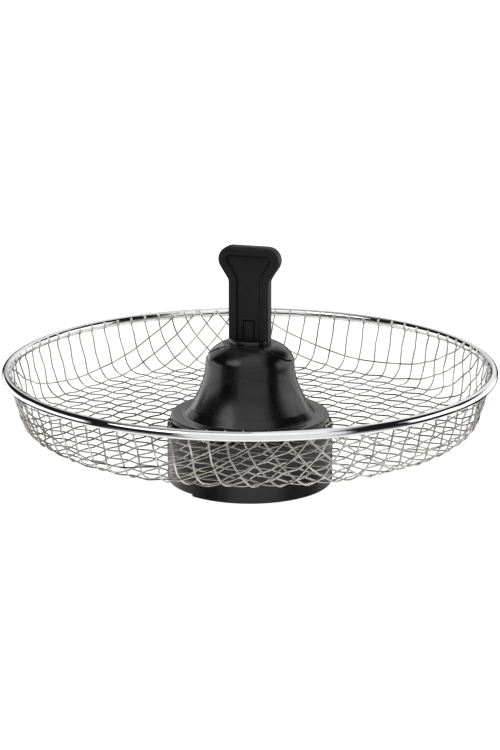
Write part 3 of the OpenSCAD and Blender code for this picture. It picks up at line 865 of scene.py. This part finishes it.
def collar():
    """Sleeve and lip, with the slot that lets the tongue's nib pass."""
    nib_room = 0.4
    slot = box_piece("cut", sides(tongue_w + 2 * slit),
                     (-blade_t / 2 - nib_r - nib_room, -blade_t / 2 + nib_room),
                     (nib_z - nib_r - 1, top_flat_z + 1))
    return join(combine(sleeve(), slot), lip())


piece(finish_mesh(collar(), 35), "basket", hub_material, "hub_plastic", "socket_collar")


# ---- the handle -------------------------------------------------------------------------------

def handle_outline(inset):
    """Right foot, over the top, to the left foot, moved inwards all round."""
    lean = math.radians(flank_lean)
    corner_x, hollow_x = head_w / 2 - head_r, stem_w / 2 + neck_r
    head_z = handle_top_z - head_r
    hollow_z = head_z - (head_r + neck_r - (hollow_x - corner_x) * math.cos(lean)) / math.sin(lean)
    stem_x = stem_w / 2 - inset
    neck = arc(hollow_x, hollow_z, neck_r + inset, 180, 180 - flank_lean, 9)
    head = arc(corner_x, head_z, head_r - inset, -flank_lean, 90, 34)
    half = np.concatenate([
        np.linspace((stem_x, handle_foot_z), (stem_x, hollow_z), 14)[:-1], neck,
        np.linspace(neck[-1], head[0], 7)[1:-1], head,
        np.linspace((corner_x, handle_top_z - inset), (0, handle_top_z - inset), 7)[1:]])
    return np.concatenate([half, half[-2::-1] * (-1, 1)])


def handle():
    """The paddle, from the recess in front to the back, as outlines that move in and out."""
    edge, brink, groove_w, groove_d = 1.5, 0.3, 0.6, 0.55
    back, groove_out = handle_t / 2, border + groove_w
    section = np.concatenate([
        [(groove_out + 0.2, recess_y), (groove_out, recess_y + 0.12),
         (groove_out, recess_y + groove_d), (border, recess_y + groove_d)],
        arc(border - brink, handle_front + brink, brink, 0, -90, 4),
        arc(edge, handle_front + edge, edge, -90, -180, 7),
        arc(edge, back - edge, edge, 180, 90, 7)])
    rows = [np.insert(handle_outline(inset), 1, y, axis=1) for inset, y in section]
    n, k = len(rows), len(rows[0])
    right, left = [i * k for i in range(n)], [i * k + k - 1 for i in range(n)]
    faces = grid(n, k) + [list(range(k)), list(range((n - 1) * k, n * k))[::-1], right + left[::-1]]
    return make("handle_grip", np.concatenate(rows), faces)


def grip():
    """The paddle with its blade, and the pocket that the tongue lies in."""
    pocket_back = recess_y + tongue_t + press_room
    mouth_w, mouth_d = 0.3, 0.45                # the pocket's wider, shallow mouth
    pocket_w, pocket_top = tongue_w + 2 * slit, tongue_top_z + slit
    blade = box_piece("blade", sides(blade_w), sides(blade_t),
                      (blade_end_z, handle_foot_z + 1.5), 0.5)
    pocket = box_piece("pocket", sides(pocket_w), (handle_front - 1, pocket_back),
                       (tongue_root_z - tongue_t / 2 - 0.3, pocket_top))
    mouth = box_piece("mouth", sides(pocket_w + 2 * mouth_w), (recess_y - 0.5, recess_y + mouth_d),
                      (handle_foot_z - 1, pocket_top + mouth_w))
    return combine(combine(combine(handle(), blade, "UNION"), pocket), mouth)


def tongue():
    """The release tongue with its rounded root and its nib."""
    body = box_piece("release_tab", sides(tongue_w), (recess_y, recess_y + tongue_t),
                     (tongue_root_z - 0.5, tongue_top_z), 0.3, 3)
    root = (recess_y + tongue_t / 2, tongue_root_z, tongue_t / 2 - 0.01)
    nib = (recess_y, nib_z, nib_r)
    rods = []
    for y, z, r in (root, nib):
        circle = arc(y, z, r, 0, 342, 20)
        rings = [np.insert(circle, 0, x, axis=1) for x in sides(tongue_w - 0.1)]
        rods.append(make("round", np.concatenate(rings), tube(2, len(circle))))
    return join(body, *rods)


piece(finish_mesh(grip(), 35), "handle", handle_material, "handle_plastic", "handle_body")
piece(finish_mesh(tongue(), 35), "tongue", handle_material, "handle_plastic", "release_tongue")


# ---- camera -----------------------------------------------------------------------------------

scene = bpy.context.scene
scene.view_settings.view_transform = "Standard"
camera_azimuth, camera_elevation, camera_distance = 18, 15, 1.0
target = Vector((0, 0, (rim_z - 4.6) * MM))     # what stands in the middle of the picture
back = direction(camera_azimuth, camera_elevation)
camera = bpy.data.objects.new("camera", bpy.data.cameras.new("camera"))
scene.collection.objects.link(camera)
camera.location = target + back * camera_distance
camera.rotation_mode = "QUATERNION"
camera.rotation_quaternion = (-back).to_track_quat("-Z", "Y")
camera.data.sensor_width, camera.data.lens = 36, 90.9
camera.data.clip_start, camera.data.clip_end = 0.01, 60
scene.camera = camera


# ---- studio -----------------------------------------------------------------------------------

def glowing(name, level, colour):
    """A pale surface that also shines a little, as a lit paper backdrop does."""
    s = Shader(name, Roughness=0.9, Emission_Color=colour, Emission_Strength=level)
    paper = s.range(s.noise(14, 3), 0.3, 0.7)
    return s.use(Base_Color=s.mix(paper, colour, tuple(0.985 * c for c in colour)))


def staged(obj, material, seen_by_camera):
    """Makes obj part of the stage, seen either by the camera alone or in reflections alone."""
    obj.data.materials.append(material)
    obj.visible_camera, obj.visible_glossy = seen_by_camera, not seen_by_camera
    obj.visible_diffuse = obj.visible_shadow = obj.visible_transmission = False


def flat_ring(name, inner, outer, z):
    rings = [np.insert(arc(0, 0, r, 0, 356.25, 96), 2, z, axis=1) for r in (inner, outer)]
    return make(name, np.concatenate(rings), grid(2, 96, False, True))


def backdrop(radius, rows=24, cols=48):
    """A dome of paper, from a little below the floor almost to its top."""
    e = np.radians(np.linspace(-20, 89.9, rows))[:, None]
    t = np.linspace(0, 2 * math.pi, cols, endpoint=False)[None]
    points = np.stack([np.cos(e) * np.cos(t), np.cos(e) * np.sin(t), np.sin(e) + 0 * t], -1)
    return make("backdrop", radius * points.reshape(-1, 3), grid(rows, cols, False, True))


# The camera sees the paper. The object mirrors the world's softboxes and dark gaps instead, and
# the sheet under the dish.
staged(flat_ring("floor", 1, 9000, -0.2), glowing("pale_paper", 0.95, (0.9, 0.9, 0.9)), True)
staged(backdrop(12000), glowing("pale_backdrop", 1.3, (0.95, 0.95, 0.95)), True)
staged(flat_ring("sheet", 85, 160, -0.1), glowing("lit_paper", 0.6, (0.9, 0.9, 0.9)), False)

# Softboxes: azimuth from the camera's, from and to; elevation, from and to; softness; level.
softboxes = [
    (-31, 44, -62, 30, 5, 0.80),      # the wall of light behind the camera, from the table up
    (-50, 44, 30, 58, 7, 1.00),       # its brighter part, above
    (-62, 64, 54, 92, 6, 1.10),
    (-76, 181, 65, 92, 5, 0.80),      # ceiling, right
    (-181, -70, 58, 92, 7, 0.22),     # ceiling, left
    (146, 181, 5, 67, 6, 0.85),       # behind
    (-181, -160, 12, 67, 6, 0.70),
    (76, 112, -9, 29, 4, 1.6),        # right, near and far end
    (104, 152, -17, 18, 5, 1.4),
    (-120, -78, -17, 14, 4, 1.6),     # left, near and far end
    (-156, -114, -22, 6, 4, 1.4),
    (-72, 80, -91, -28, 6, 0.32),     # the table beside the wall of light
    (-181, 181, -91, -46, 6, 0.28),   # the table right below
]
ambient = 0.012


def studio_world():
    """A dark world with softboxes in it, placed by direction."""
    world = bpy.data.worlds.new("studio")
    world.use_nodes = True
    n = Nodes(world.node_tree)

    def window(value, low, high, soft):
        """1 between two values, falling to 0 beyond them."""
        return n.math("MULTIPLY", n.range(value, low - soft, low + soft),
                      n.math("SUBTRACT", 1.0, n.range(value, high - soft, high + soft)))

    turned = n.add("ShaderNodeVectorRotate", rotation_type="Z_AXIS")
    turned.inputs["Angle"].default_value = -math.radians(camera_azimuth)
    n.feed(turned.inputs["Vector"], n.add("ShaderNodeTexCoord").outputs["Generated"])
    x, y, z = n.split(turned.outputs[0])
    to_degrees = 180 / math.pi
    azimuth = n.math("MULTIPLY", n.math("ARCTAN2", x, n.math("MULTIPLY", y, -1.0)), to_degrees)
    elevation = n.math("MULTIPLY", n.math("ARCSINE", z), to_degrees)
    light = 0.0
    for a0, a1, e0, e1, soft, strength in softboxes:
        box = n.math("MULTIPLY", window(azimuth, a0, a1, soft), window(elevation, e0, e1, soft))
        light = n.math("MAXIMUM", light, n.math("MULTIPLY", box, strength))
    background = n.tree.nodes["Background"]
    n.feed(background.inputs["Color"], (1.0, 1.0, 1.0))
    n.feed(background.inputs["Strength"], n.math("ADD", light, ambient))
    return world


def lamp(name, azimuth, elevation, distance, size, watts, *receivers):
    """A round soft lamp at a direction from the camera's azimuth, for all or for the named pieces.

    Its distance from the target and its size are in metres.
    """
    data = bpy.data.lights.new(name, "AREA")
    obj = bpy.data.objects.new(name, data)
    scene.collection.objects.link(obj)
    data.shape, data.size, data.energy = "DISK", size, watts
    towards = direction(azimuth + camera_azimuth, elevation)
    obj.location = target + towards * distance
    obj.rotation_mode = "QUATERNION"
    obj.rotation_quaternion = towards.to_track_quat("Z", "Y")
    obj.visible_camera = False
    if receivers:
        only = bpy.data.collections.new(name + "_only")
        for item in receivers:
            only.objects.link(bpy.data.objects[item])
        obj.light_linking.receiver_collection = only


scene.world = studio_world()
lamp("key", -56, 45, 1.7, 0.9, 4.0)
lamp("shoulder", -151, 21, 1.2, 1.0, 2.3, "hub_bell", "hub_hood", "collar")
